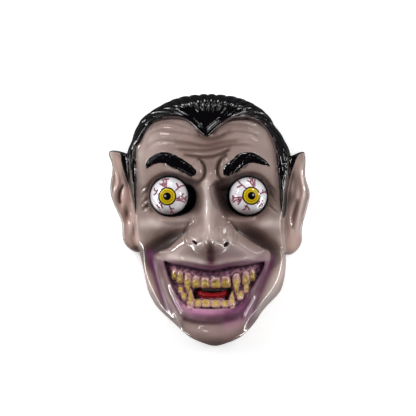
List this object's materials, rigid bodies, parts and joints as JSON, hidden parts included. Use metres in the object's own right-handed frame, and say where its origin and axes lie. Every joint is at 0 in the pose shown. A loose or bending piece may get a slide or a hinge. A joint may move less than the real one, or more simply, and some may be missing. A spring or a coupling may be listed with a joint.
{
  "type": "vampire mask",
  "caption": "Moulded glossy plastic vampire face mask with swept-back hair, pointed ears, bared teeth and ball eyes set in dark pockets; lies face up.",
  "frame": {"origin": "middle of the outline's box, on the plane of the flat rim", "axes": "+Z out of the face, +Y towards the top of the hair, +X to the right of the face as seen"},
  "size_m": [0.2085, 0.264, 0.0932],
  "materials": {
    "painted_sheet": "high gloss grey-mauve skin with painted black hair, brown and purple shading, yellow teeth and a red tongue",
    "eyeball": "high gloss white with a yellow iris, black pupil and red veins"
  },
  "bodies": {
    "root": {"mask_shell": "painted_sheet", "eyeball_left": "eyeball", "eyeball_right": "eyeball"}
  },
  "joints": []
}
